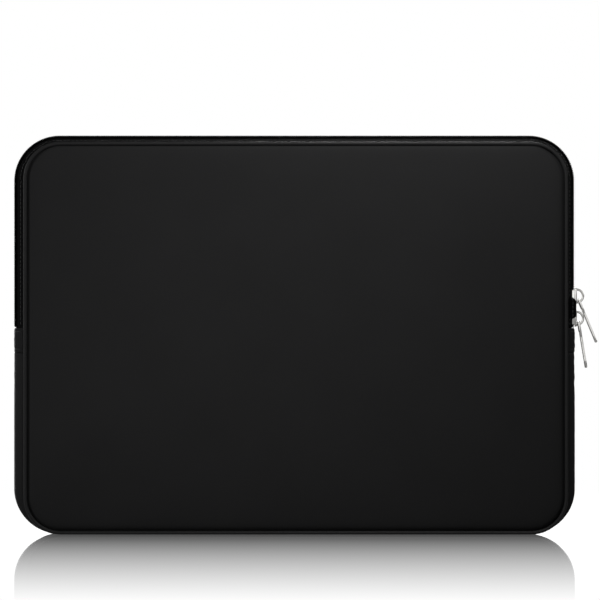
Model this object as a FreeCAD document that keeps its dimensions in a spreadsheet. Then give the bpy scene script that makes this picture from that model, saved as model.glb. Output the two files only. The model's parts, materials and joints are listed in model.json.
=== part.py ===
import FreeCAD, Part
import math
import os

import Sketcher
from FreeCAD import Vector

# A neoprene laptop sleeve that stands on its lower gusset. X runs along its width, Y through its
# thickness with the front at -Y, and Z up. The origin is the middle of the base.
#
# Every ring round the sleeve is a rounded rectangle. Its inset from the outermost outline is
# rise * (inset of the piping on that side) + step: rise 0 is the crest of the zip band and of the
# gusset, rise 1 is the piping, and step is the same on all four sides.
SIZES = {
    "sleeve_width": 395.0,
    "sleeve_height": 281.0,
    "corner_radius": 32.0,
    "fold_height": 228.0,
    "zip_end_height": 145.0,
    # the piping's centre line
    "welt_inset_side": 7.2,
    "welt_inset_top": 6.0,
    "welt_inset_base": 1.3,
    "piping_depth": 10.9,
    "piping_radius": 1.3,
    "piping_cord_radius": 0.75,
    "piping_end_gap": 0.4,
    # panel layers, as distances from the mid-plane
    "lining_inner": 7.5,
    "lining_thickness": 0.8,
    "layer_gap": 0.1,
    "panel_outer": 13.0,
    "shell_thickness": 1.0,
    "panel_step": 2.1,
    "panel_roll": 3.6,
    # binding over the raw seam edges
    "binding_inner": 6.2,
    "binding_thickness": 1.2,
    "binding_step": 1.2,
    "binding_width": 1.6,
    # zip tapes and coils
    "coil_gap": 0.7,
    "coil_outer": 3.3,
    "coil_thickness": 2.0,
    "tape_inner": 1.2,
    "tape_bend": 4.8,
    "tape_thickness": 0.6,
    "tape_step": 2.1,
    "tape_bend_step": 2.4,
    "seam_depth": 9.4,
    "seam_rise": 0.8,
    # lower gusset
    "gusset_crest": 7.0,
    "gusset_rise": 0.75,
    "gusset_thickness": 1.6,
    "gusset_lining_thickness": 0.5,
    "end_tab_height": 17.0,
    # crimped stops at the zip's ends, under the tabs
    "stop_height": 2.2,
    "stop_half_width": 3.9,
    "stop_outer_step": 1.7,
    "stop_thickness": 2.6,
    # sliders
    "slider_length": 11.6,
    "slider_head_width": 9.4,
    "slider_tail_width": 8.4,
    "slider_clearance": 0.3,
    "slider_plate": 1.5,
    "slider_floor_drop": 3.5,
    "slider_floor_plate": 1.3,
    "slider_flange": 0.8,
    "slider_flange_height": 1.7,
    "slider_neck_width": 1.0,
    "slider_neck_length": 3.0,
    "slider_corner": 1.2,
    "slider_neck_setback": 0.6,
    "lower_slider_centre": 152.0,
    "upper_slider_centre": 167.8,
    "bridge_radius": 5.4,
    "bridge_thickness": 1.6,
    "bridge_width": 2.8,
    # pull tabs
    "pull_length": 32.9,
    "pull_thickness": 1.8,
    "pull_top_width": 6.4,
    "pull_neck_width": 4.6,
    "pull_tip_width": 6.6,
    "pull_window_width": 3.6,
    "pull_shoulder": 2.5,
    "pull_tip_length": 5.0,
    "pull_tip_corner": 1.5,
    "pull_edge_radius": 0.35,
    "pull_window_length": 7.2,
    "pull_bar_height": 0.6,
    "pull_pivot_out": 1.35,
    "pull_pivot_drop": 2.4,
    "upper_pull_angle": 22.6,
    "lower_pull_angle": 9.4,
}

doc = FreeCAD.newDocument("LaptopSleeve")
sheet = doc.addObject("Spreadsheet::Sheet", "Sizes")
for row, (alias, value) in enumerate(SIZES.items(), start=1):
    sheet.set(f"A{row}", alias)
    sheet.set(f"B{row}", str(value))
    sheet.setAlias(f"B{row}", alias)
doc.recompute()

pieces = []


def value_of(expression):
    return float(sheet.evalExpression(expression))


def cell(expression):
    """Spells out a sheet expression: every alias in it becomes Sizes.alias."""
    words = expression.replace("(", " ( ").replace(")", " ) ").split()
    return " ".join(f"Sizes.{word}" if word in SIZES else word for word in words)


def new_body(name):
    body = doc.addObject("PartDesign::Body", name)
    body.Label = name
    return body


def new_sketch(body, name, plane, offset="0"):
    """A sketch on one of the body's own origin planes, moved along that plane's normal."""
    sketch = body.newObject("Sketcher::SketchObject", name)
    origin_plane = next(item for item in body.Origin.OriginFeatures if item.Role == plane)
    sketch.AttachmentSupport = [(origin_plane, "")]
    sketch.MapMode = "FlatFace"
    sketch.AttachmentOffset.Base = Vector(0, 0, value_of(cell(offset)))
    sketch.setExpression("AttachmentOffset.Base.z", cell(offset))
    return sketch


def bind(sketch, kind, where, expression):
    """Adds a dimension whose value follows the sheet."""
    index = sketch.addConstraint(Sketcher.Constraint(kind, *where, value_of(cell(expression))))
    sketch.setExpression(f"Constraints[{index}]", cell(expression))


def pin_point(sketch, geometry, point, across, up):
    """Fixes a point of the geometry at the given distances from the sketch's origin."""
    for kind, expression in (("DistanceX", across), ("DistanceY", up)):
        bind(sketch, kind, (-1, 1, geometry, point), expression)


def polygon(sketch, corners):
    """A closed outline with straight sides; corners are pairs of sheet expressions."""
    points = [Vector(value_of(cell(x)), value_of(cell(y)), 0) for x, y in corners]
    lines = []
    for start, end in zip(points, points[1:] + points[:1]):
        lines.append(sketch.addGeometry(Part.LineSegment(start, end)))
    for line, follower in zip(lines, lines[1:] + lines[:1]):
        sketch.addConstraint(Sketcher.Constraint("Coincident", line, 2, follower, 1))
    for line, (x, y) in zip(lines, corners):
        pin_point(sketch, line, 1, x, y)


def mirrored(half):
    """An outline from the corners of its right half, listed from one end to the other."""
    return half + [(f"-1 * ( {across} )", up) for across, up in reversed(half)]


def ring_limits(rise, step):
    """A ring's right edge, top, base and corner radius, as sheet expressions."""
    side, top, base = (f"( {rise} ) * welt_inset_{edge} + ( {step} )"
                       for edge in ("side", "top", "base"))
    return (f"sleeve_width / 2 - ( {side} )", f"sleeve_height - ( {top} )", base,
            f"corner_radius - ( {side} )")


def rounded_outline(sketch, rise, step):
    """A rounded rectangle round the sleeve, anticlockwise from its right side."""
    limits = ring_limits(rise, step)
    edge_x, top_z, base, radius = limits
    x, z_high, z_low, r = (value_of(cell(text)) for text in limits)
    quarter = math.pi / 2
    runs = [((x, z_low + r), (x, z_high - r)), ((x - r, z_high), (r - x, z_high)),
            ((-x, z_high - r), (-x, z_low + r)), ((r - x, z_low), (x - r, z_low))]
    centres = [(x - r, z_high - r), (r - x, z_high - r), (r - x, z_low + r), (x - r, z_low + r)]
    loop = []
    for turn, ((start, end), centre) in enumerate(zip(runs, centres)):
        loop.append(sketch.addGeometry(Part.LineSegment(Vector(*start, 0), Vector(*end, 0))))
        circle = Part.Circle(Vector(*centre, 0), Vector(0, 0, 1), r)
        arc = Part.ArcOfCircle(circle, turn * quarter, (turn + 1) * quarter)
        loop.append(sketch.addGeometry(arc))
    for piece, follower in zip(loop, loop[1:] + loop[:1]):
        sketch.addConstraint(Sketcher.Constraint("Tangent", piece, 2, follower, 1))
    right, upper, left, lower = loop[::2]
    bind(sketch, "DistanceX", (-1, 1, right, 1), edge_x)
    bind(sketch, "DistanceX", (-1, 1, left, 1), f"-1 * ( {edge_x} )")
    bind(sketch, "DistanceY", (-1, 1, upper, 1), top_z)
    bind(sketch, "DistanceY", (-1, 1, lower, 1), base)
    for arc in loop[1::2]:
        bind(sketch, "Radius", (arc,), radius)


def face_offset(face, near, far):
    """Where a layer's sketch sits: the XZ plane's normal points forward, to -Y."""
    return near if face == "front" else f"-1 * ( {far} )"


def layer(name, face, near, far, rings):
    """A flat layer or frame between two distances from the mid-plane."""
    body = new_body(name)
    sketch = new_sketch(body, f"{name}_outline", "XZ_Plane", face_offset(face, near, far))
    for rise, step in rings:
        rounded_outline(sketch, rise, step)
    pad = body.newObject("PartDesign::Pad", f"{name}_pad")
    pad.Profile = sketch
    pad.setExpression("Length", cell(f"( {far} ) - ( {near} )"))
    return body


def roll_edge(body, face, far, radius):
    """Rounds the layer's outermost rim, where the panel rolls down to its seam."""
    doc.recompute()
    rim_y = value_of(cell(far)) * (-1 if face == "front" else 1)
    base = body.Tip
    names = [f"Edge{i}" for i, edge in enumerate(base.Shape.Edges, start=1)
             if all(abs(vertex.Y - rim_y) < 1e-6 for vertex in edge.Vertexes)]
    fillet = body.newObject("PartDesign::Fillet", f"{body.Name}_roll")
    fillet.Base = (base, names)
    fillet.setExpression("Radius", cell(radius))
    return fillet


def hollow_out(body, face, near, wall):
    """Leaves only the skin of a rolled layer, open towards the mid-plane."""
    doc.recompute()
    open_y = value_of(cell(near)) * (-1 if face == "front" else 1)
    base = body.Tip
    names = [f"Face{i}" for i, side in enumerate(base.Shape.Faces, start=1)
             if abs(side.BoundBox.YMin - open_y) < 1e-6 and side.BoundBox.YLength < 1e-6]
    skin = body.newObject("PartDesign::Thickness", f"{body.Name}_skin")
    skin.Base = (base, names)
    skin.Reversed = True
    skin.setExpression("Value", cell(wall))
    return skin


def band(name, stations, thickness):
    """A strip round the sleeve, lofted between rings at given distances in front of mid-plane."""
    body = new_body(name)
    for kind, extra in (("Additive", "0"), ("Subtractive", thickness)):
        rings = []
        for number, (depth, rise, step) in enumerate(stations):
            ring = new_sketch(body, f"{name}_{kind}_{number}", "XZ_Plane", depth)
            rounded_outline(ring, rise, f"( {step} ) + ( {extra} )")
            rings.append(ring)
        loft = body.newObject(f"PartDesign::{kind}Loft", f"{name}_{kind}")
        loft.Profile = rings[0]
        loft.Sections = rings[1:]
        loft.Ruled = True
    return body


def tube(name, face, radii):
    """Piping round the whole panel; its two ends meet in the middle of the base."""
    body = new_body(name)
    depth, across = "piping_depth", "-1 * piping_depth"
    if face == "back":
        depth, across = across, depth
    path = new_sketch(body, f"{name}_path", "XZ_Plane", depth)
    limits = ring_limits("1", "0")
    edge_x, top_z, base, radius = limits
    x, z_high, z_low, r = (value_of(cell(text)) for text in limits)
    gap = value_of(cell("piping_end_gap / 2"))
    quarter = math.pi / 2
    stops = [(gap, z_low), (x - r, z_low), (x, z_low + r), (x, z_high - r), (x - r, z_high),
             (r - x, z_high), (-x, z_high - r), (-x, z_low + r), (r - x, z_low), (-gap, z_low)]
    centres = [(x - r, z_low + r), (x - r, z_high - r), (r - x, z_high - r), (r - x, z_low + r)]
    loop = []
    for number in range(len(stops) - 1):
        if number % 2 == 0:
            start, end = Vector(*stops[number], 0), Vector(*stops[number + 1], 0)
            loop.append(path.addGeometry(Part.LineSegment(start, end)))
        else:
            turn = number // 2
            circle = Part.Circle(Vector(*centres[turn], 0), Vector(0, 0, 1), r)
            arc = Part.ArcOfCircle(circle, (turn - 1) * quarter, turn * quarter)
            loop.append(path.addGeometry(arc))
    for piece, follower in zip(loop, loop[1:]):
        path.addConstraint(Sketcher.Constraint("Tangent", piece, 2, follower, 1))
    first, right, upper, left, last = loop[::2]
    pin_point(path, first, 1, "piping_end_gap / 2", base)
    path.addConstraint(Sketcher.Constraint("Horizontal", first))
    bind(path, "DistanceX", (-1, 1, right, 1), edge_x)
    bind(path, "DistanceY", (-1, 1, upper, 1), top_z)
    bind(path, "DistanceX", (-1, 1, left, 1), f"-1 * ( {edge_x} )")
    pin_point(path, last, 2, "-1 * piping_end_gap / 2", base)
    for arc in loop[1::2]:
        bind(path, "Radius", (arc,), radius)
    profile = new_sketch(body, f"{name}_profile", "YZ_Plane", "piping_end_gap / 2")
    for size in radii:
        centre = Vector(value_of(cell(across)), value_of(cell(base)), 0)
        circle = profile.addGeometry(Part.Circle(centre, Vector(0, 0, 1), value_of(cell(size))))
        pin_point(profile, circle, 3, across, base)
        bind(profile, "Radius", (circle,), size)
    sweep = body.newObject("PartDesign::AdditivePipe", f"{name}_sweep")
    sweep.Profile = profile
    doc.recompute()
    sweep.Spine = (path, [f"Edge{i}" for i in range(1, len(path.Shape.Edges) + 1)])
    return body


def box(name, low, high):
    """A plain box between two corners given as sheet expressions."""
    solid = doc.addObject("Part::Box", name)
    for axis, side, start, end in zip("xyz", ("Length", "Width", "Height"), low, high):
        solid.setExpression(f"Placement.Base.{axis}", cell(start))
        solid.setExpression(side, cell(f"( {end} ) - ( {start} )"))
    return solid


def keep_span(label, source, low, high, half="both"):
    """The stretch of a ring between two heights, on both sides of the sleeve or on one."""
    reach = "sleeve_width / 2 + 1"
    left = "0" if half == "right" else f"-1 * ( {reach} )"
    right = "0" if half == "left" else reach
    span = box(f"{label}_span", (left, "-1 * panel_outer - 1", low),
               (right, "panel_outer + 1", high))
    common = doc.addObject("Part::Common", label)
    common.Base = source
    common.Tool = span
    keep(common, label)
    return common


def keep(item, label):
    item.Label = label
    pieces.append(item)


BELOW = "-1"
ABOVE = "sleeve_height + 1"


def front_and_back(name, make):
    """One sheet or trim for each face; the front one is parted at the fold."""
    front = make("front")
    keep_span(f"front_{name}_lower", front, BELOW, "fold_height")
    keep_span(f"front_{name}_upper", front, "fold_height", ABOVE)
    keep(make("back"), f"back_{name}")


# --- panels: outer fabric, foam and lining -------------------------------------------------------

FOAM_NEAR = "lining_inner + lining_thickness + layer_gap"
FOAM_FAR = "panel_outer - shell_thickness - layer_gap"
SHELL_ROOM = "panel_step + shell_thickness + layer_gap"


def make_shell(face):
    body = layer(f"{face}_shell_sheet", face, FOAM_NEAR, "panel_outer", [("1", "panel_step")])
    roll_edge(body, face, "panel_outer", "panel_roll")
    hollow_out(body, face, FOAM_NEAR, "shell_thickness")
    return body


def make_foam(face):
    body = layer(f"{face}_foam_sheet", face, FOAM_NEAR, FOAM_FAR, [("1", SHELL_ROOM)])
    roll_edge(body, face, FOAM_FAR, "panel_roll - shell_thickness")
    return body


def make_lining(face):
    far = "lining_inner + lining_thickness"
    return layer(f"{face}_lining_sheet", face, "lining_inner", far, [("1", "panel_step")])


def make_binding(face):
    rings = [("1", "binding_step"), ("1", "binding_step + binding_width")]
    far = "binding_inner + binding_thickness"
    return layer(f"{face}_binding_ring", face, "binding_inner", far, rings)


def make_piping_cover(face):
    radii = ("piping_radius", "piping_cord_radius + 0.05")
    return tube(f"{face}_piping_tube", face, radii)


def make_piping_cord(face):
    return tube(f"{face}_piping_core", face, ("piping_cord_radius",))


front_and_back("shell", make_shell)
front_and_back("foam", make_foam)
front_and_back("lining", make_lining)
front_and_back("seam_binding", make_binding)
front_and_back("piping_cover", make_piping_cover)
front_and_back("piping_cord", make_piping_cord)

# --- zip: two tapes, two coils, and the stops at both ends ---------------------------------------


def make_tape(face):
    sign = "1" if face == "front" else "-1"
    stations = [(f"{sign} * tape_inner", "0", "tape_step"),
                (f"{sign} * tape_bend", "0", "tape_bend_step"),
                (f"{sign} * seam_depth", "seam_rise", "0")]
    return band(f"{face}_tape_band", stations, "tape_thickness")


def make_coil(face):
    rings = [("0", "0"), ("0", "coil_thickness")]
    return layer(f"{face}_coil_ring", face, "coil_gap", "coil_outer", rings)


for zip_part, make_zip_part in (("zip_tape", make_tape), ("zip_coil", make_coil)):
    front_ring = make_zip_part("front")
    keep_span(f"front_{zip_part}_lower", front_ring, "zip_end_height", "fold_height")
    keep_span(f"front_{zip_part}_upper", front_ring, "fold_height", ABOVE)
    keep_span(f"back_{zip_part}", make_zip_part("back"), "zip_end_height", ABOVE)

stop_rings = [("0", "stop_outer_step"), ("0", "stop_outer_step + stop_thickness")]
stop_body = layer("stop_ring", "front", "-1 * stop_half_width", "stop_half_width", stop_rings)
tab_high = "zip_end_height - layer_gap"
stop_low = f"{tab_high} - stop_height"
for hand in ("left", "right"):
    keep_span(f"{hand}_zip_stop", stop_body, stop_low, tab_high, hand)

# --- lower gusset, its lining, and the tabs sewn over the zip's ends -----------------------------


def make_gusset(name, step, thickness):
    stations = [("-1 * seam_depth", "gusset_rise", step), ("-1 * gusset_crest", "0", step),
                ("gusset_crest", "0", step), ("seam_depth", "gusset_rise", step)]
    return band(name, stations, thickness)


tab_low = f"{tab_high} - end_tab_height"
gusset_high = f"{tab_low} - layer_gap"
gusset_band = make_gusset("gusset_band", "0", "gusset_thickness")
keep_span("lower_gusset", gusset_band, BELOW, gusset_high)
for hand in ("left", "right"):
    keep_span(f"{hand}_zip_end_tab", gusset_band, tab_low, tab_high, hand)
lining_step = "gusset_thickness + layer_gap"
lining_band = make_gusset("gusset_lining_band", lining_step, "gusset_lining_thickness")
keep_span("gusset_lining", lining_band, BELOW, f"{stop_low} - layer_gap")

# --- sliders -------------------------------------------------------------------------------------

PLATE_IN = "sleeve_width / 2 + slider_clearance"
PLATE_OUT = f"{PLATE_IN} + slider_plate"
FLOOR_IN = "sleeve_width / 2 - slider_floor_drop - slider_floor_plate"


def pad_on(body, name, offset, length, corners):
    """Adds a block to a slider, drawn facing outwards and grown outwards."""
    sketch = new_sketch(body, f"{name}_sketch", "YZ_Plane", offset)
    polygon(sketch, corners)
    pad = body.newObject("PartDesign::Pad", name)
    pad.Profile = sketch
    pad.setExpression("Length", cell(length))
    return pad


def wedge_plate(centre, head):
    """The slider's plan: wide at its head, narrower at its tail, with cut corners."""
    wide, narrow = "slider_head_width / 2", "slider_tail_width / 2"
    tip, tail = f"{centre} + {head} * slider_length / 2", f"{centre} - {head} * slider_length / 2"
    cut = f"{head} * slider_corner"
    return mirrored([(f"{wide} - slider_corner", tip), (wide, f"{tip} - {cut}"),
                     (narrow, f"{tail} + {cut}"), (f"{narrow} - slider_corner", tail)])


def make_slider(label, centre, head):
    """Top plate, side flanges, the neck that parts the coils, and the plate below the tapes."""
    body = new_body(label)
    plan = wedge_plate(centre, head)
    pad_on(body, f"{label}_plate", PLATE_IN, "slider_plate", plan)
    for number, sign in enumerate(("1", "-1")):
        inner = [f"{sign} * ( slider_{end}_width / 2 - slider_flange )" for end in ("head", "tail")]
        outer = [f"{sign} * slider_{end}_width / 2" for end in ("head", "tail")]
        near = f"{centre} + {head} * ( slider_length / 2 - slider_corner )"
        far = f"{centre} - {head} * ( slider_length / 2 - slider_corner )"
        corners = [(inner[0], near), (outer[0], near), (outer[1], far), (inner[1], far)]
        pad_on(body, f"{label}_flange_{number}", f"{PLATE_IN} - slider_flange_height",
               "slider_flange_height", corners)
    neck_tip = f"{centre} + {head} * ( slider_length / 2 - slider_neck_setback )"
    neck_end = f"{neck_tip} - {head} * slider_neck_length"
    neck = [("slider_neck_width / 2", neck_tip), ("slider_neck_width / 2", neck_end),
            ("-1 * slider_neck_width / 2", neck_end), ("-1 * slider_neck_width / 2", neck_tip)]
    pad_on(body, f"{label}_neck", f"{FLOOR_IN}", f"( {PLATE_IN} ) - ( {FLOOR_IN} )", neck)
    pad_on(body, f"{label}_floor", FLOOR_IN, "slider_floor_plate", plan)
    keep(body, label)


def make_bridge(label, centre):
    """The half-round arch on the slider's plate that carries the pull tab."""
    body = new_body(label)
    sketch = new_sketch(body, f"{label}_sketch", "XZ_Plane", "-1 * bridge_width / 2")
    x, z = value_of(cell(PLATE_OUT)), value_of(cell(centre))
    arcs = []
    for size in ("bridge_radius", "bridge_radius - bridge_thickness"):
        circle = Part.Circle(Vector(x, z, 0), Vector(0, 0, 1), value_of(cell(size)))
        arc = sketch.addGeometry(Part.ArcOfCircle(circle, -math.pi / 2, math.pi / 2))
        pin_point(sketch, arc, 3, PLATE_OUT, centre)
        bind(sketch, "Radius", (arc,), size)
        arcs.append((arc, value_of(cell(size))))
    (outer, big), (inner, small) = arcs
    for end, sign in ((1, -1), (2, 1)):
        foot = sketch.addGeometry(Part.LineSegment(Vector(x, z + sign * big, 0),
                                                   Vector(x, z + sign * small, 0)))
        sketch.addConstraint(Sketcher.Constraint("Coincident", foot, 1, outer, end))
        sketch.addConstraint(Sketcher.Constraint("Coincident", foot, 2, inner, end))
        sketch.addConstraint(Sketcher.Constraint("Vertical", foot))
    pad = body.newObject("PartDesign::Pad", f"{label}_pad")
    pad.Profile = sketch
    pad.setExpression("Length", cell("bridge_width"))
    keep(body, label)


def make_pull(label, centre, angle):
    """A flat tab with a window at its top; the bar above the window hangs in the bridge."""
    body = new_body(label)
    outline = new_sketch(body, f"{label}_outline", "YZ_Plane", "-1 * pull_thickness / 2")
    polygon(outline, mirrored([
        ("pull_top_width / 2", "pull_bar_height"),
        ("pull_top_width / 2", "-1 * pull_window_length"),
        ("pull_neck_width / 2", "-1 * ( pull_window_length + pull_shoulder )"),
        ("pull_tip_width / 2", "-1 * pull_length + pull_tip_length"),
        ("pull_tip_width / 2", "-1 * pull_length + pull_tip_corner"),
        ("pull_tip_width / 2 - pull_tip_corner", "-1 * pull_length")]))
    tab = body.newObject("PartDesign::Pad", f"{label}_tab")
    tab.Profile = outline
    tab.setExpression("Length", cell("pull_thickness"))
    window = new_sketch(body, f"{label}_window", "YZ_Plane", "-1 * pull_thickness / 2 - 1")
    wide = "pull_window_width / 2"
    low, high = "-1 * pull_window_length", "-1 * pull_bar_height"
    polygon(window, [(wide, high), (wide, low), (f"-1 * {wide}", low), (f"-1 * {wide}", high)])
    hole = body.newObject("PartDesign::Pocket", f"{label}_hole")
    hole.Profile = window
    hole.Reversed = True
    hole.setExpression("Length", cell("pull_thickness + 2"))
    doc.recompute()
    names = [f"Edge{i}" for i, edge in enumerate(hole.Shape.Edges, start=1)
             if edge.BoundBox.XLength < 1e-6]
    rounding = body.newObject("PartDesign::Fillet", f"{label}_rounding")
    rounding.Base = (hole, names)
    rounding.setExpression("Radius", cell("pull_edge_radius"))
    body.setExpression("Placement.Base.x", cell(f"{PLATE_OUT} + pull_pivot_out"))
    body.setExpression("Placement.Base.z", cell(f"{centre} - pull_pivot_drop"))
    body.Placement.Rotation = FreeCAD.Rotation(Vector(0, -1, 0), value_of(cell(angle)))
    body.setExpression("Placement.Rotation.Angle", cell(angle))
    keep(body, label)


for level, head, in (("upper", "-1"), ("lower", "1")):
    slider_centre = f"{level}_slider_centre"
    make_slider(f"{level}_slider_body", slider_centre, head)
    make_bridge(f"{level}_slider_bridge", slider_centre)
    make_pull(f"{level}_pull_tab", slider_centre, f"{level}_pull_angle")

# --- check and write -----------------------------------------------------------------------------

doc.recompute()
for item in doc.Objects:
    if "Invalid" in item.State or "Error" in item.State:
        raise RuntimeError(f"{item.Name}: {item.State}")
for piece in pieces:
    if piece.Shape.isNull() or not piece.Shape.isValid() or piece.Shape.Volume <= 0:
        raise RuntimeError(f"{piece.Label}: bad shape")

os.makedirs("parts", exist_ok=True)
for piece in pieces:
    piece.Shape.exportStep(f"parts/{piece.Label}.step")
    extent = piece.Shape.optimalBoundingBox()
    print(f"{piece.Label}: {len(piece.Shape.Solids)} solid, {piece.Shape.Volume:.1f} mm3, "
          f"x {extent.XMin:.1f}..{extent.XMax:.1f} y {extent.YMin:.1f}..{extent.YMax:.1f} "
          f"z {extent.ZMin:.1f}..{extent.ZMax:.1f}")
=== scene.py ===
import json
import math

import bmesh
import bpy
import numpy as np
from mathutils import Matrix, Vector


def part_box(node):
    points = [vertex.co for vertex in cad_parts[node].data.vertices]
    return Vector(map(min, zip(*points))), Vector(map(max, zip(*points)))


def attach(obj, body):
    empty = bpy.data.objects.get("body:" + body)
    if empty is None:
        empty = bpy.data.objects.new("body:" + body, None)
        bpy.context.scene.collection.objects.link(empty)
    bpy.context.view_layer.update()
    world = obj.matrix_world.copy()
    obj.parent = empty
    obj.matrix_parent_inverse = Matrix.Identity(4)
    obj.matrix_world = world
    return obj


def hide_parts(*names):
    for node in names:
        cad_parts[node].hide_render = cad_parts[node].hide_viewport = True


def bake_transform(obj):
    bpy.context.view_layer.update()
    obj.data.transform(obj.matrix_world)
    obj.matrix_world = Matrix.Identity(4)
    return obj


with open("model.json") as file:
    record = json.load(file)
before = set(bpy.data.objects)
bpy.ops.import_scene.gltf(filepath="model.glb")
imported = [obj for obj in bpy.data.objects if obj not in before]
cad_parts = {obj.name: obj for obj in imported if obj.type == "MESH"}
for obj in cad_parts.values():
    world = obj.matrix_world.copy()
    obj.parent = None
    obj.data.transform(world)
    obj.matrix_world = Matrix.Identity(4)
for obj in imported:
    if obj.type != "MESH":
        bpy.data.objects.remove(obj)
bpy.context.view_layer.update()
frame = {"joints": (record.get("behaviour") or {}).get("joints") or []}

MM = 0.001

# --- the rings that the whole sleeve is built on --------------------------------------------------
# Every ring is a rounded rectangle, inset from the outermost outline by rise * (inset of the
# piping on that side) + step. The corners of all rings share their centres across the width.

PIPING_RADIUS, PIPING_CORE = 1.3 * MM, 0.72 * MM
CORNER = 32.0 * MM
HALF_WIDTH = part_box("back_zip_coil")[1].x
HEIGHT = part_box("back_zip_coil")[1].z
welt_low, welt_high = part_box("back_piping_cover")
SIDE_INSET = HALF_WIDTH - (welt_high.x - PIPING_RADIUS)
TOP_INSET = HEIGHT - (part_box("front_piping_cover_upper")[1].z - PIPING_RADIUS)
BASE_INSET = welt_low.z + PIPING_RADIUS
PIPING_DEPTH = (welt_low.y + welt_high.y) / 2
BINDING_NEAR, BINDING_FAR = (edge.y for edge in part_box("back_seam_binding"))
ZIP_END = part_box("back_zip_coil")[0].z
TAB_LOW, TAB_HIGH = (edge.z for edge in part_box("left_zip_end_tab"))
LINING_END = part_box("gusset_lining")[1].z

SIDE_RUN = HEIGHT - 2 * CORNER
LONG_RUN = 2 * (HALF_WIDTH - CORNER)
TURN = CORNER * math.pi / 2
RUNS = [SIDE_RUN, TURN, LONG_RUN, TURN, SIDE_RUN, TURN, LONG_RUN, TURN]
STARTS = np.concatenate([[0.0], np.cumsum(RUNS)])
AROUND = STARTS[-1]

# Side heights between these two are the same on every ring, so that things at one height line up.
EVEN_LOW, EVEN_HIGH = 60 * MM, 220 * MM

FRONT, BACK = -1, 1


def side_height(nominal, low, high):
    """The height on a ring whose straight side runs from low to high."""
    knots = np.array([CORNER, EVEN_LOW, EVEN_HIGH, HEIGHT - CORNER])
    share = np.clip((nominal - knots[0]) / (knots[1] - knots[0]), None, 1)
    upper = np.clip((nominal - knots[2]) / (knots[3] - knots[2]), 0, None)
    middle = np.clip(nominal, EVEN_LOW, EVEN_HIGH)
    return middle + (share - 1) * (EVEN_LOW - low) + upper * (high - EVEN_HIGH)


def ring(s, rise, step):
    """Point and outward normal at distance s round a ring, anticlockwise from the right side."""
    s, rise, step = np.broadcast_arrays(np.mod(s, AROUND), rise, step)
    side, top, base = (rise * inset + step for inset in (SIDE_INSET, TOP_INSET, BASE_INSET))
    radius = CORNER - side
    edge = HALF_WIDTH - side
    high, low = HEIGHT - top - radius, base + radius
    centre = HALF_WIDTH - CORNER
    part = np.clip(np.searchsorted(STARTS, s, side="right") - 1, 0, 7)
    along = s - STARTS[part]
    x, z, angle = np.zeros_like(s), np.zeros_like(s), np.zeros_like(s)
    for number in range(8):
        here = part == number
        run = along[here]
        angle[here] = (number // 2) * math.pi / 2
        if number % 2:
            angle[here] += run / TURN * math.pi / 2
            right, upper = number in (1, 7), number in (1, 3)
            x[here] = (centre if right else -centre) + radius[here] * np.cos(angle[here])
            z[here] = (high if upper else low)[here] + radius[here] * np.sin(angle[here])
        elif number in (0, 4):
            nominal = CORNER + run if number == 0 else HEIGHT - CORNER - run
            x[here] = edge[here] if number == 0 else -edge[here]
            z[here] = side_height(nominal, low[here], high[here])
        else:
            x[here] = centre - run if number == 2 else run - centre
            z[here] = (HEIGHT - top)[here] if number == 2 else base[here]
    return x, z, np.cos(angle), np.sin(angle)


def right_at(height):
    """Distance round the ring of a height on the right side."""
    return height - CORNER


def left_at(height):
    return STARTS[4] + HEIGHT - CORNER - height


def smooth(low, high, value):
    share = np.clip((value - low) / (high - low), 0, 1)
    return share * share * (3 - 2 * share)


def hump(low, high, fade, value):
    """1 between low and high, fading to 0 outside them."""
    return smooth(low - fade, low, value) * (1 - smooth(high, high + fade, value))


def ripple(s, waves, seed):
    """A gentle unevenness along s: a sum of sines of those wavelengths, between -1 and 1."""
    rng = np.random.default_rng(seed)
    total = 0
    for wave in waves:
        turns = max(1, round(AROUND / wave))
        total = total + np.sin(2 * math.pi * turns * s / AROUND + rng.uniform(0, 2 * math.pi))
    return total / len(waves)


# --- materials ------------------------------------------------------------------------------------


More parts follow.
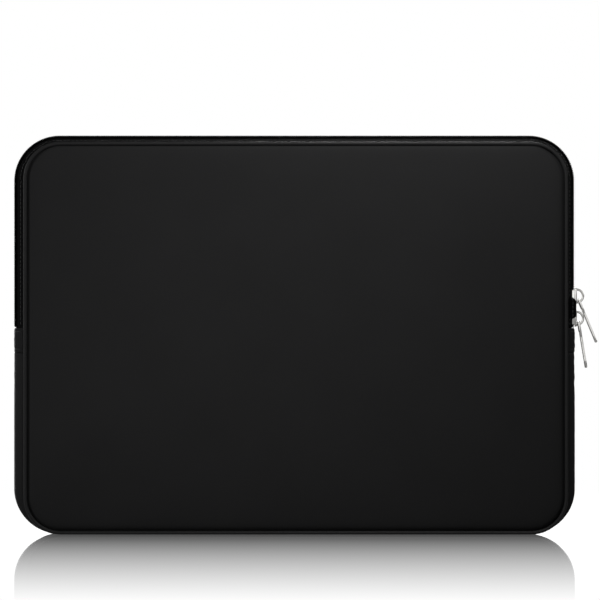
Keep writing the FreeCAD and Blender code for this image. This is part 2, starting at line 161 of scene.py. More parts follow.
class Graph:
    """A short way to write a node material."""

    def __init__(self, name):
        self.material = bpy.data.materials.new(name)
        self.material.use_nodes = True
        self.tree = self.material.node_tree
        self.shader = self.tree.nodes["Principled BSDF"]
        self.output = self.tree.nodes["Material Output"]

    def put(self, socket, value):
        if isinstance(value, bpy.types.NodeSocket):
            self.tree.links.new(value, socket)
        else:
            socket.default_value = value

    def node(self, kind, output, inputs=(), **settings):
        made = self.tree.nodes.new(f"ShaderNode{kind}")
        for name, value in settings.items():
            setattr(made, name, value)
        for key, value in dict(inputs).items():
            self.put(made.inputs[key], value)
        return made.outputs[output]

    def maths(self, operation, first, second=0.0):
        return self.node("Math", 0, {0: first, 1: second}, operation=operation)

    def coordinates(self):
        """Each point's place on the flat cloth, in millimetres."""
        return self.node("UVMap", "UV", uv_map="cut")

    def solid(self):
        """Each point's place in space, in millimetres."""
        place = self.node("TexCoord", "Object")
        return self.node("Mapping", 0, {"Vector": place, "Scale": (1 / MM,) * 3})

    def noise(self, vector, scale, detail, roughness):
        inputs = {"Vector": vector, "Scale": scale, "Detail": detail, "Roughness": roughness}
        return self.node("TexNoise", 0, inputs)

    def wave(self, vector, scale, direction, warp):
        inputs = {"Vector": vector, "Scale": scale, "Distortion": warp, "Detail": 1.0}
        return self.node("TexWave", 1, inputs, bands_direction=direction)

    def ramp(self, value, low, high, start=0.0, end=1.0):
        inputs = {"Value": value, "From Min": start, "From Max": end, "To Min": low, "To Max": high}
        return self.node("MapRange", 0, inputs)

    def tint(self, value, dark, light):
        inputs = {0: value, 6: (*dark, 1), 7: (*light, 1)}
        return self.node("Mix", 2, inputs, data_type="RGBA")

    def bump(self, height, strength, distance, below=None):
        inputs = {"Height": height, "Strength": strength, "Distance": distance}
        if below is not None:
            inputs["Normal"] = below
        return self.node("Bump", 0, inputs)

    def finish(self, colour, roughness, normal, **others):
        self.put(self.shader.inputs["Base Color"], colour)
        self.put(self.shader.inputs["Roughness"], roughness)
        self.put(self.shader.inputs["Normal"], normal)
        for name, value in others.items():
            self.put(self.shader.inputs[name.replace("_", " ")], value)
        return self.material


def grey(level, blue=1.0):
    return (level, level, level * blue)


WAVE_BAND = 6.283  # one over this and over a thread's width is the wave texture's scale


def cloth(name, dark, light, width, roughness, sheen, depth, slant=0.0, gloss=0.15):
    """A woven or knitted cloth: two crossed sets of threads, lint, and slow changes of tone."""
    g = Graph(name)
    place = g.coordinates()
    lean = g.node("Mapping", 0, {"Vector": place, "Rotation": (0, 0, slant)})
    threads = g.wave(lean, 1 / width / WAVE_BAND, "X", 0.3)
    crossing = g.wave(lean, 1 / width / WAVE_BAND, "Y", 0.3)
    weave = g.maths("MULTIPLY", threads, crossing)
    lint = g.noise(place, 2.2, 4.0, 0.65)
    cloud = g.noise(place, 0.03, 3.0, 0.5)
    tone = g.maths("MULTIPLY", g.ramp(lint, 0.75, 1.2), g.ramp(cloud, 0.85, 1.15, 0.3, 0.7))
    tone = g.maths("MULTIPLY", tone, g.ramp(weave, 0.55, 1.0))
    colour = g.tint(tone, grey(dark, 1.03), grey(light, 1.03))
    relief = g.bump(weave, depth, 0.0001)
    relief = g.bump(lint, depth * 0.6, 0.00008, relief)
    return g.finish(colour, g.ramp(lint, roughness - 0.06, roughness + 0.06), relief,
                    Sheen_Weight=sheen, Sheen_Roughness=0.45, Sheen_Tint=(0.8, 0.82, 0.85, 1),
                    Specular_IOR_Level=gloss)


def jersey_material():
    """Nylon jersey on neoprene: columns of small V-shaped stitches, a soft matt sheen."""
    g = Graph("neoprene_jersey")
    place = g.coordinates()
    left = g.node("Mapping", 0, {"Vector": place, "Rotation": (0, 0, 0.5)})
    right = g.node("Mapping", 0, {"Vector": place, "Rotation": (0, 0, -0.5)})
    loops = g.maths("MAXIMUM", g.wave(left, 0.30, "X", 0.2), g.wave(right, 0.30, "X", 0.2))
    columns = g.wave(place, 0.20, "X", 0.15)
    knit = g.maths("MULTIPLY", loops, g.ramp(columns, 0.5, 1.0))
    lint = g.noise(place, 1.6, 5.0, 0.7)
    cloud = g.noise(place, 0.018, 2.0, 0.5)
    tone = g.maths("MULTIPLY", g.ramp(lint, 0.7, 1.3, 0.25, 0.75), g.ramp(knit, 0.75, 1.0))
    tone = g.maths("MULTIPLY", tone, g.ramp(cloud, 0.9, 1.1, 0.3, 0.7))
    colour = g.tint(tone, grey(0.004, 1.02), grey(0.0155, 1.02))
    relief = g.bump(knit, 0.12, 0.00012)
    relief = g.bump(lint, 0.10, 0.0001, relief)
    return g.finish(colour, g.ramp(lint, 0.62, 0.78), relief, Sheen_Weight=0.03,
                    Sheen_Roughness=0.5, Specular_IOR_Level=0.12)


def foam_material():
    g = Graph("closed_cell_foam")
    place = g.solid()
    cells = g.node("TexVoronoi", 0, {"Vector": place, "Scale": 1.4})
    colour = g.tint(cells, grey(0.035), grey(0.06))
    return g.finish(colour, 0.85, g.bump(cells, 0.5, 0.0003))


def cord_material():
    g = Graph("twisted_cord")
    place = g.coordinates()
    lay = g.node("Mapping", 0, {"Vector": place, "Rotation": (0, 0, 0.8)})
    strands = g.wave(lay, 0.3, "X", 0.4)
    return g.finish(g.tint(strands, grey(0.13), grey(0.22)), 0.8, g.bump(strands, 0.6, 0.0002))


def coil_material():
    """Nylon monofilament: glossy black, a little uneven where it was drawn."""
    g = Graph("nylon_coil")
    haze = g.noise(g.solid(), 1.1, 3.0, 0.6)
    colour = g.tint(haze, grey(0.001), grey(0.003))
    return g.finish(colour, g.ramp(haze, 0.35, 0.5), g.bump(haze, 0.15, 0.0001),
                    Specular_IOR_Level=0.03)


def thread_material():
    g = Graph("sewing_thread")
    place = g.solid()
    twist = g.wave(place, 1.2, "DIAGONAL", 0.5)
    return g.finish(g.tint(twist, grey(0.02), grey(0.045)), 0.5, g.bump(twist, 0.5, 0.0001),
                    Sheen_Weight=0.1)


def nickel_material():
    """Nickel plate, polished, with fine handling scratches and faint cloudiness."""
    g = Graph("nickel_plate")
    place = g.solid()
    cloud = g.noise(place, 0.35, 3.0, 0.5)
    streaks = g.node("Mapping", 0, {"Vector": place, "Scale": (3.0, 3.0, 0.35)})
    scratches = g.noise(streaks, 2.5, 6.0, 0.8)
    colour = g.tint(cloud, (0.62, 0.61, 0.59), (0.80, 0.79, 0.77))
    relief = g.bump(scratches, 0.06, 0.0001)
    return g.finish(colour, g.ramp(scratches, 0.08, 0.18, 0.35, 0.65), relief, Metallic=1.0)


def enamel_material():
    g = Graph("black_enamel")
    place = g.solid()
    chips = g.noise(place, 1.6, 4.0, 0.7)
    colour = g.tint(g.ramp(chips, 0.0, 1.0, 0.62, 0.75), grey(0.012), grey(0.05))
    return g.finish(colour, g.ramp(chips, 0.3, 0.5), g.bump(chips, 0.15, 0.0001))


jersey = jersey_material()
foam_cells = foam_material()
lining_cloth = cloth("brushed_lining", 0.012, 0.034, 0.5, 0.9, 0.2, 0.3)
piping_cloth = cloth("satin_piping", 0.003, 0.011, 0.32, 0.5, 0.02, 0.2, 0.785, 0.2)
binding_cloth = cloth("ribbed_binding", 0.004, 0.016, 0.8, 0.75, 0.04, 0.5)
tape_cloth = cloth("herringbone_tape", 0.0015, 0.0065, 0.55, 0.8, 0.005, 0.45, 0.6, 0.02)
cord_fibre = cord_material()
nylon = coil_material()
thread = thread_material()
nickel = nickel_material()
enamel = enamel_material()

# --- meshes ---------------------------------------------------------------------------------------


def new_piece(name, points, faces, material, cut=None):
    """A mesh object; cut holds each point's place on the flat cloth, in millimetres."""
    mesh = bpy.data.meshes.new(name)
    mesh.from_pydata(np.asarray(points).tolist(), [], faces)
    if cut is not None:
        layer = mesh.uv_layers.new(name="cut")
        corners = np.zeros(len(mesh.loops), np.int32)
        mesh.loops.foreach_get("vertex_index", corners)
        layer.data.foreach_set("uv", np.asarray(cut, np.float32)[corners].ravel())
    tidy = bmesh.new()
    tidy.from_mesh(mesh)
    bmesh.ops.recalc_face_normals(tidy, faces=tidy.faces)
    tidy.to_mesh(mesh)
    tidy.free()
    mesh.materials.append(material)
    mesh.shade_smooth()
    piece = bpy.data.objects.new(name, mesh)
    bpy.context.scene.collection.objects.link(piece)
    return piece


def grid_faces(rows, columns, rows_close, columns_close):
    """Quads of a grid of points, stored row by row."""
    faces = []
    for i in range(rows if rows_close else rows - 1):
        for j in range(columns if columns_close else columns - 1):
            k, m = (i + 1) % rows, (j + 1) % columns
            faces.append((i * columns + j, i * columns + m, k * columns + m, k * columns + j))
    return faces


def stations(start, end, spacing):
    return np.linspace(start, end, max(2, int(round((end - start) / spacing)) + 1))


def sweep(name, s, section, face, material, nudge=None, looped=False):
    """A closed section carried round the sleeve. Its corners are (depth, rise, step)."""
    depth, rise, step = (np.array(column)[None, :] for column in zip(*section))
    along = np.asarray(s)[:, None]
    out = 0 if nudge is None else nudge(along, depth, step)
    x, z, normal_x, normal_z = ring(along, rise, step)
    y = face * depth + 0 * x
    points = np.stack([x + out * normal_x, y, z + out * normal_z], axis=-1)
    rows, columns = x.shape
    lengths = np.hypot(np.diff(depth[0]), np.diff(rise[0] * SIDE_INSET + step[0]))
    across = np.concatenate([[0], np.cumsum(lengths)])
    cut = np.stack(np.broadcast_arrays(along, across[None, :]), axis=-1) / MM
    faces = grid_faces(rows, columns, looped, True)
    if not looped:
        faces.append(tuple(range(columns)))
        faces.append(tuple(range((rows - 1) * columns, rows * columns)))
    return new_piece(name, points.reshape(-1, 3), faces, material, cut.reshape(-1, 2))


def strip(line, thickness):
    """The section of a cloth strip whose outer side follows the line of (depth, rise, step)."""
    return line + [(depth, rise, step + thickness) for depth, rise, step in reversed(line)]


def oval(depth, rise, step, radius, corners):
    turns = np.arange(corners) * 2 * math.pi / corners
    return [(depth + radius * math.cos(a), rise, step + radius * math.sin(a)) for a in turns]


LEAST_CROSSING = 0.01  # least sine of the angle between a rod's path and its up


def tube(path, up, radii, sides):
    """Points and faces of a round rod along a path, with its ends closed. up is across the path."""
    path, up = np.asarray(path, float), np.asarray(up, float)
    run = np.gradient(path, axis=0)
    run /= np.linalg.norm(run, axis=1, keepdims=True)
    up = up - (up * run).sum(1, keepdims=True) * run
    length = np.linalg.norm(up, axis=1, keepdims=True)
    assert length.min() > LEAST_CROSSING, "up runs along the path"
    up /= length
    side = np.cross(run, up)
    turns = np.arange(sides) * 2 * math.pi / sides
    radii = np.broadcast_to(radii, len(path))[:, None, None]
    around = np.cos(turns)[None, :, None] * up[:, None] + np.sin(turns)[None, :, None] * side[:, None]
    points = path[:, None] + radii * around
    faces = grid_faces(len(path), sides, False, True)
    faces.append(tuple(range(sides)))
    faces.append(tuple(range((len(path) - 1) * sides, len(path) * sides)))
    return points.reshape(-1, 3), faces


def merged(parts):
    """Several (points, faces) as one."""
    points, faces, count = [], [], 0
    for part_points, part_faces in parts:
        points.append(np.asarray(part_points, float))
        faces += [tuple(corner + count for corner in face) for face in part_faces]
        count += len(part_points)
    return np.concatenate(points), faces


# --- the flat pads of a panel: face, foam and lining ----------------------------------------------

PATCH = 4.5 * MM
TOP_FULLNESS = 1.15 * MM  # along the top the panel swells closer to its piping


def corner_to_corner():
    """The four stretches of a ring between the middles of its corners: right, top, left, base."""
    tall = max(4, round((SIDE_RUN + TURN) / PATCH))
    wide = max(4, round((LONG_RUN + TURN) / PATCH))
    begin = -TURN / 2
    stretches = []
    for count, length in ((tall, SIDE_RUN + TURN), (wide, LONG_RUN + TURN)) * 2:
        stretches.append(np.linspace(begin, begin + length, count + 1))
        begin += length
    return stretches


def patch(profile, crown, first):
    """One side of a pad: rings from the rim inwards, then a grid. profile is (depth, step)."""
    stretches = corner_to_corner()
    tall, wide = len(stretches[0]) - 1, len(stretches[1]) - 1
    s = np.concatenate([stretch[:-1] for stretch in stretches])
    count = len(s)
    points = []
    top_run = hump(STARTS[2], STARTS[3], TURN / 2, s)
    for depth, step in profile:
        raised = smooth(9.6 * MM, 10.6 * MM, depth) * (1 - smooth(5 * MM, 12 * MM, step))
        x, z, _, _ = ring(s, 1.0, step - TOP_FULLNESS * raised * top_run)
        points.append(np.stack([x, np.full_like(x, depth), z], axis=-1))
    faces = grid_faces(len(profile), count, False, True)
    rim = (len(profile) - 1) * count
    right, upper, left, lower = (points[-1][np.arange(start, start + run + 1) % count]
                                 for start, run in ((0, tall), (tall, wide), (tall + wide, tall),
                                                    (2 * tall + wide, wide)))
    upper, left = upper[::-1], left[::-1]
    u, v = np.linspace(0, 1, wide + 1)[None, :, None], np.linspace(0, 1, tall + 1)[:, None, None]
    middle = ((1 - v) * lower[None] + v * upper[None] + (1 - u) * left[:, None] + u * right[:, None]
              - (1 - u) * (1 - v) * lower[0] - u * (1 - v) * lower[-1]
              - (1 - u) * v * upper[0] - u * v * upper[-1])
    swell = (1 - (2 * u - 1) ** 4) * (1 - (2 * v - 1) ** 4)
    middle[..., 1:2] += crown * swell
    index = np.zeros((tall + 1, wide + 1), int)
    index[:, wide] = rim + np.arange(0, tall + 1)
    index[tall, ::-1] = rim + tall + np.arange(0, wide + 1)
    index[::-1, 0] = rim + tall + wide + np.arange(0, tall + 1)
    index[0, :] = rim + (2 * tall + wide + np.arange(0, wide + 1)) % count
    inside = np.arange((tall - 1) * (wide - 1)).reshape(tall - 1, wide - 1)
    index[1:-1, 1:-1] = rim + count + inside
    for i in range(tall):
        for j in range(wide):
            faces.append((index[i, j], index[i, j + 1], index[i + 1, j + 1], index[i + 1, j]))
    points = np.concatenate(points + [middle[1:-1, 1:-1].reshape(-1, 3)])
    return points, [tuple(int(corner) + first for corner in face) for face in faces], count


def pad(name, face, outer, inner, crown, slack, material):
    """A closed layer of a panel. outer and inner list (depth, step) in mm from the rim inwards."""
    sides, faces, first = [], [], 0
    for profile, rise in ((outer, crown[0]), (inner, crown[1])):
        scaled = [(depth * MM, step * MM) for depth, step in profile]
        points, side_faces, count = patch(scaled, rise * MM, first)
        sides.append(points)
        faces += side_faces
        first += len(points)
    start = len(sides[0])
    for k in range(count):
        follower = (k + 1) % count
        faces.append((k, follower, start + follower, start + k))
    points = np.concatenate(sides)
    x, z = points[:, 0], points[:, 2]
    edge = np.minimum(HALF_WIDTH - np.abs(x), np.minimum(z, HEIGHT - z))
    wander = (np.sin(x / (31 * MM) + 1.3) * np.sin(z / (23 * MM) + 0.4)
              + np.sin(x / (13 * MM) + z / (19 * MM)) * 0.5)
    points[:, 1] = face * (points[:, 1] + slack * MM * wander * smooth(12 * MM, 30 * MM, edge))
    return new_piece(name, points, faces, material, points[:, [0, 2]] / MM)


# (depth, step) in mm, rim first. The face's rim is tucked in beside the piping.
FACE_OUTER = [(9.62, 1.0), (9.9, 1.7), (10.2, 2.15), (10.7, 2.5), (11.15, 2.95), (11.55, 3.6),
              (11.88, 4.5), (12.15, 5.7), (12.37, 7.3), (12.55, 9.5), (12.68, 12.0), (12.78, 15.5)]
FACE_INNER = [(9.62, 1.8), (9.72, 2.7), (10.0, 3.3), (10.5, 3.8), (10.9, 4.4), (11.15, 5.2),
              (11.35, 6.4), (11.5, 8.4), (11.65, 11.0), (11.78, 15.5)]
FOAM_OUTER = [(8.9, 3.5), (9.7, 3.75), (10.3, 4.3), (10.7, 5.0), (10.95, 6.0), (11.15, 7.6),
              (11.35, 10.0), (11.6, 15.5)]
FOAM_INNER = [(8.5, 3.7), (8.45, 5.0), (8.45, 9.0), (8.45, 13.5)]
LINING_OUTER = [(8.2, 2.25), (8.27, 2.8), (8.28, 5.0), (8.28, 9.0), (8.28, 13.5)]
LINING_INNER = [(7.75, 2.2), (7.6, 2.6), (7.55, 5.0), (7.55, 9.0), (7.55, 13.5)]


def make_panel(face, word):
    skin = pad(f"{word}_face_fabric", face, FACE_OUTER, FACE_INNER, (0.28, 0.22), 0.05, jersey)
    foam = pad(f"{word}_foam_pad", face, FOAM_OUTER, FOAM_INNER, (0.2, 0.0), 0.0, foam_cells)
    lining = pad(f"{word}_lining_sheet", face, LINING_OUTER, LINING_INNER, (0, 0), 0.03, lining_cloth)
    return skin, foam, lining


# --- what follows the rim -------------------------------------------------------------------------

EVERYWHERE = np.linspace(0, AROUND, 440, endpoint=False)
ZIP_START, ZIP_STOP = right_at(ZIP_END), left_at(ZIP_END)
SLIDER_ZONE = (right_at(153.5 * MM), right_at(164.8 * MM))


def make_piping(face, word):
    """A satin cover pulled round its cord: gathered at the corners, lapped at the base."""
    join = STARTS[6] + LONG_RUN / 2

    def gathers(s, depth, step):
        corner = sum(hump(STARTS[n], STARTS[n + 1], 9 * MM, s) for n in (1, 3, 5, 7))
        pull = 0.04 + 0.08 * corner + 0.08 * hump(join - 4 * MM, join + 4 * MM, 1 * MM, s)
        return -pull * MM * (1 + ripple(s + 1.5 * depth, (4.1 * MM, 6.7 * MM, 11 * MM), 3)) / 2

    section = oval(PIPING_DEPTH, 1.0, 0.0, PIPING_RADIUS, 16)
    s = np.linspace(0, AROUND, 900, endpoint=False)
    cover = sweep(f"{word}_piping_cover", s, section, face, piping_cloth, gathers, looped=True)
    section = oval(PIPING_DEPTH, 1.0, 0.0, PIPING_CORE, 10)
    core = sweep(f"{word}_piping_core", EVERYWHERE, section, face, cord_fibre, looped=True)
    return cover, core


def make_binding(face, word):
    near, far = BINDING_NEAR, BINDING_FAR
    low, high = 1.25 * MM, 2.75 * MM
    bulge = 0.15 * MM
    section = [(near, 1, low + bulge), (near + bulge, 1, low), (far - bulge, 1, low),
               (far, 1, low + bulge), (far, 1, high - bulge), (far - bulge, 1, high),
               (near + bulge, 1, high), (near, 1, high - bulge)]
    return sweep(f"{word}_binding", EVERYWHERE, section, face, binding_cloth, looped=True)


TAPE_BEND, TAPE_SLOPE = 4.8, 4.6  # depth in mm where a tape turns down, and how far on it is sewn
BEND_STEP, SEAM_RISE = 2.4, 0.8  # its step in mm at the bend, and its rise where it is sewn


def tape_line():
    """(depth, rise, step) across a zip tape, from beside the coil out to the seam."""
    line = [(1.2, 0, 2.12), (2.4, 0, 2.18), (3.6, 0, 2.28), (4.5, 0, 2.38), (4.85, 0.01, 2.38)]
    for depth in (5.1, 5.5, 6.1, 6.8, 7.6, 8.4, 9.0, 9.4):
        share = (depth - TAPE_BEND) / TAPE_SLOPE
        line.append((depth, SEAM_RISE * share, BEND_STEP * (1 - share)))
    return [(depth * MM, rise, step * MM) for depth, rise, step in line]


def tape_nudge(s, depth, step):
    """The tape bulges up beside the sliders, and its slope is a little uneven all along."""
    beside = smooth(4.8 * MM, 5.5 * MM, depth) * (1 - smooth(5.9 * MM, 9.3 * MM, depth))
    bulge = 3.7 * MM * beside * hump(*SLIDER_ZONE, 2.6 * MM, s)
    slope = smooth(5.5 * MM, 7 * MM, depth) * (1 - smooth(8 * MM, 9.3 * MM, depth))
    corner = sum(hump(STARTS[n], STARTS[n + 1], 6 * MM, s) for n in (1, 3))
    uneven = (0.12 + 0.34 * corner) * MM * slope * ripple(s, (5.3 * MM, 8.9 * MM, 17 * MM), 11)
    return bulge + uneven


def make_tape(face, word):
    s = stations(ZIP_START, ZIP_STOP, 1.6 * MM)
    section = strip(tape_line(), 0.55 * MM)
    return sweep(f"{word}_tape", s, section, face, tape_cloth, tape_nudge)


COIL_PITCH, TURN_POINTS = 1.3 * MM, 12
COIL_GAP = 0.4 * MM  # between a zip's end and its coil's first turn
WIRE, WIRE_STEP, WIRE_SWING = 0.36 * MM, 1.06 * MM, 0.70 * MM  # radius, centre line, turn's height
CORE, CORE_STEP = 0.5 * MM, 1.72 * MM
COIL_NEAR, COIL_FAR = -0.30 * MM, 3.2 * MM  # depth of a turn's inner and outer end


def make_coil(face, word):
    """One long helix of monofilament round a filler cord, which rests on the tape. The two coils
    mesh, half a turn apart."""
    first = ZIP_START + WIRE + COIL_GAP
    count = round((ZIP_START + ZIP_STOP - 2 * first) / COIL_PITCH)
    ahead = 0.5 if face == BACK else 0.0
    turns = np.linspace(0, count, count * TURN_POINTS + 1)[int(ahead * TURN_POINTS):]
    s = first + (turns - ahead) * COIL_PITCH
    parted = hump(*SLIDER_ZONE, 5 * MM, s)
    near = COIL_NEAR + 1.10 * MM * parted
    far = COIL_FAR + 0.30 * MM * parted
    middle, reach = (near + far) / 2, (far - near) / 2
    sink = 0.4 * MM * (1 - smooth(0, 2.5 * MM, np.minimum(s - ZIP_START, ZIP_STOP - s)))
    angle = 2 * math.pi * turns

    def rod(depth, step, radius, up_is_along):
        x, z, normal_x, normal_z = ring(s, 0.0, step + sink)
        along, outward = (-normal_z, 0 * x, normal_x), (normal_x, 0 * x, normal_z)
        up = np.stack(along if up_is_along else outward, axis=-1)
        return tube(np.stack([x, face * depth, z], axis=-1), up, radius, 8)

    helix = rod(middle + reach * np.cos(angle), WIRE_STEP - WIRE_SWING * np.sin(angle), WIRE, True)
    filler = rod(middle, CORE_STEP, CORE, False)
    return new_piece(f"{word}_coil", *merged([helix, filler]), nylon)


STITCH, STITCH_GAP, THREAD = 2.4 * MM, 0.5 * MM, 0.2 * MM


def seam(place, start, end):
    """Separate stitches along a line. place gives points and normals at distances along it."""
    parts = []
    count = int((end - start) / (STITCH + STITCH_GAP))
    u = np.linspace(0, 1, 6)
    for number in range(count):
        points, normals = place(start + (number + u * 0.83) * (end - start) / count)
        arch = np.sin(math.pi * u)[:, None]
        path = points + normals * (THREAD * (1.3 * arch - 0.5))
        radii = THREAD * (0.45 + 0.55 * arch[:, 0])
        parts.append(tube(path, normals, radii, 6))
    return parts


def tape_place(face, depth):
    """Where the stitches lie on the tape's slope, and which way they face."""
    share = (depth - TAPE_BEND * MM) / (TAPE_SLOPE * MM)
    lean = 0.45

    def place(s):
        x, z, normal_x, normal_z = ring(s, SEAM_RISE * share, BEND_STEP * MM * (1 - share))
        lift = tape_nudge(s, depth, 0)
        points = np.stack([x + lift * normal_x, face * depth + 0 * x, z + lift * normal_z], axis=-1)
        normals = np.stack([normal_x, 0 * x + face * lean, normal_z], axis=-1)
        return points, normals / np.linalg.norm(normals, axis=1, keepdims=True)

    return place


def make_tape_stitches(face, word):
    parts = seam(tape_place(face, 7.4 * MM), ZIP_START + 2 * MM, ZIP_STOP - 2 * MM)
    return new_piece(f"{word}_tape_stitches", *merged(parts), thread)


# --- lower gusset and the tabs over the zip's ends ------------------------------------------------

GUSSET_THICK = 1.55 * MM
GUSSET_DOME = 0.45 * MM  # how much further out its crest is than its shoulders, up the sides


def gusset_line():
    half = [(9.4, 0.75), (8.9, 0.58), (8.3, 0.37), (7.7, 0.18), (7.1, 0.04), (6.4, 0.0), (4.8, 0.0),
            (3.0, 0.0), (1.2, 0.0)]
    both = [(-depth, rise) for depth, rise in half] + half[::-1]
    return [(depth * MM, rise, 0.0) for depth, rise in both]


def near_ends(s):
    """1 just below the zip's ends, where the gusset is gathered, and 0 from 45 mm below."""
    top = right_at(TAB_LOW)
    below_right = np.abs(np.mod(s - top + AROUND / 2, AROUND) - AROUND / 2)
    below_left = np.abs(s - left_at(TAB_LOW))
    return 1 - smooth(4 * MM, 45 * MM, np.minimum(below_right, below_left))


def gusset_nudge(s, depth, step):
    """Puckers, inwards only, where the neoprene is gathered to the zip; none on the flat base."""
    gathered = near_ends(s)
    standing = hump(STARTS[6], STARTS[7], 1 * MM, np.mod(s, AROUND))
    slope = smooth(3 * MM, 7.5 * MM, np.abs(depth))
    waves = (ripple(s + 0.9 * depth, (7.3 * MM, 11.9 * MM, 19 * MM), 21) + 1) / 2
    size = (0.10 + 0.75 * gathered) * (0.35 + 0.65 * slope) * MM
    dome = GUSSET_DOME * smooth(0, 6 * MM, np.abs(depth))
    edge = 1 - smooth(8.9 * MM, 9.4 * MM, np.abs(depth)) * 0.7
    return -(size * waves + dome) * (1 - standing) * edge


def make_gusset():
    height = TAB_LOW - 0.1 * MM
    s = stations(left_at(height), AROUND + right_at(height), 1.9 * MM)
    return sweep("gusset_fabric", s, strip(gusset_line(), GUSSET_THICK), BACK, jersey, gusset_nudge)


def make_gusset_lining():
    start, end = left_at(LINING_END), AROUND + right_at(LINING_END)
    line = [(depth, rise, 1.7 * MM) for depth, rise, _ in gusset_line()]
    section = strip(line, 0.45 * MM)
    return sweep("gusset_lining_sheet", stations(start, end, 4 * MM), section, BACK, lining_cloth,
                 lambda s, depth, step: 0.9 * gusset_nudge(s, depth, step))


def tab_nudge(start, end):
    """A folded tab: rounded at both folds, drawn in across its middle, creased by its seams."""

    def nudge(s, depth, step):
        ends = np.minimum(s - start, end - s)
        fold = -0.55 * (1 - smooth(0, 1.6 * MM, ends))
        crease = -0.22 * hump(2.2 * MM, 2.8 * MM, 0.9 * MM, ends)
        pull = -0.28 * (ripple(s + 0.5 * depth, (4.7 * MM, 8.3 * MM), 31) + 1) / 2
        edge = 1 - smooth(8.9 * MM, 9.4 * MM, np.abs(depth)) * 0.8
        outer = 1 - 0.9 * smooth(0, GUSSET_THICK, step)
        dome = GUSSET_DOME * smooth(0, 6 * MM, np.abs(depth))
        return ((0.12 + fold + crease + pull) * MM - dome) * edge * outer

    return nudge


def make_tab(word, start, end):
    s = stations(start, end, 0.6 * MM)
    section = strip(gusset_line(), GUSSET_THICK)
    nudge = tab_nudge(start, end)
    tab = sweep(f"{word}_end_tab", s, section, BACK, binding_cloth, nudge)
    depths, rises, _ = (np.array(column) for column in zip(*gusset_line()))
    parts = []
    for height in (start + 2.5 * MM, end - 2.5 * MM):

        def place(depth):
            rise = np.interp(depth, depths, rises)
            x, z, normal_x, normal_z = ring(height + 0 * depth, rise, 0.0)
            out = nudge(height + 0 * depth, depth, 0.0)
            lean = np.clip((np.abs(depth) - 6.6 * MM) / MM, 0, 1) * np.sign(depth) * 1.2
            normals = np.stack([normal_x, lean, normal_z], axis=-1)
            points = np.stack([x + out * normal_x, depth, z + out * normal_z], axis=-1)
            return points, normals / np.linalg.norm(normals, axis=1, keepdims=True)

        parts += seam(place, -8.6 * MM, 8.6 * MM)
    return tab, new_piece(f"{word}_tab_stitches", *merged(parts), thread)


# --- stamped metal --------------------------------------------------------------------------------


def rounded(corners, radii):
    """A polygon's outline with an arc at each corner."""
    if not hasattr(radii, "__len__"):
        radii = [radii] * len(corners)
    outline, count = [], len(corners)
    for k, radius in enumerate(radii):
        corner = Vector(corners[k])
        before = (Vector(corners[k - 1]) - corner).normalized()
        after = (Vector(corners[(k + 1) % count]) - corner).normalized()
        half = before.angle(after) / 2
        reach = radius / math.tan(half)
        centre = corner + (before + after).normalized() * (radius / math.sin(half))
        first, last = corner + before * reach - centre, corner + after * reach - centre
        sweep_angle = math.atan2(first.x * last.y - first.y * last.x, first.dot(last))
        for share in np.linspace(0, 1, 7):
            turn = Matrix.Rotation(sweep_angle * share, 2)
            outline.append(tuple(centre + turn @ first))
    return outline


def stamped(loops, thickness, edge):
    """Points and faces of a plate with rounded edges, from its outline and its holes'."""
    curve = bpy.data.curves.new("outline", "CURVE")
    curve.dimensions = "2D"
    curve.fill_mode = "BOTH"
    curve.extrude = thickness / 2 - edge
    curve.bevel_depth = edge
    curve.bevel_resolution = 3
    curve.offset = -edge
    for loop in loops:
        spline = curve.splines.new("POLY")
        spline.points.add(len(loop) - 1)
        for point, place in zip(spline.points, loop):
            point.co = (*place, 0, 1)
        spline.use_cyclic_u = True
    holder = bpy.data.objects.new("outline", curve)
    mesh = bpy.data.meshes.new_from_object(holder)
    tidy = bmesh.new()
    tidy.from_mesh(mesh)
    bmesh.ops.remove_doubles(tidy, verts=tidy.verts, dist=0.005 * MM)
    bmesh.ops.dissolve_degenerate(tidy, edges=tidy.edges, dist=0.002 * MM)
    points = np.array([vertex.co for vertex in tidy.verts], float)
    tidy.verts.index_update()
    faces = [tuple(vertex.index for vertex in side.verts) for side in tidy.faces]
    tidy.free()
    bpy.data.objects.remove(holder)
    bpy.data.curves.remove(curve)
    bpy.data.meshes.remove(mesh)
    return points, faces


def facing_out(part, x, z):
    """Stands a plate, drawn as (across, up), at x: its thickness along the sleeve's width."""
    points, faces = part
    return points[:, [2, 0, 1]] + np.array([x, 0, z]), faces


PLATE, FLOOR_PLATE, FLANGE, NECK_LONG = 1.5 * MM, 1.3 * MM, 0.8 * MM, 3.0 * MM
HEAD_WIDE, TAIL_WIDE, SLIDER_LONG = 9.4 * MM, 8.4 * MM, 11.6 * MM
BRIDGE_RADIUS, BRIDGE_THICK, BRIDGE_WIDE = 5.4 * MM, 1.6 * MM, 2.8 * MM


def wedge(wide, narrow, long, head, radius):
    """A slider's plan: wide at its head, narrower at its tail."""
    corners = [(wide / 2, head * long / 2), (-wide / 2, head * long / 2),
               (-narrow / 2, -head * long / 2), (narrow / 2, -head * long / 2)]
    return rounded(corners, radius)


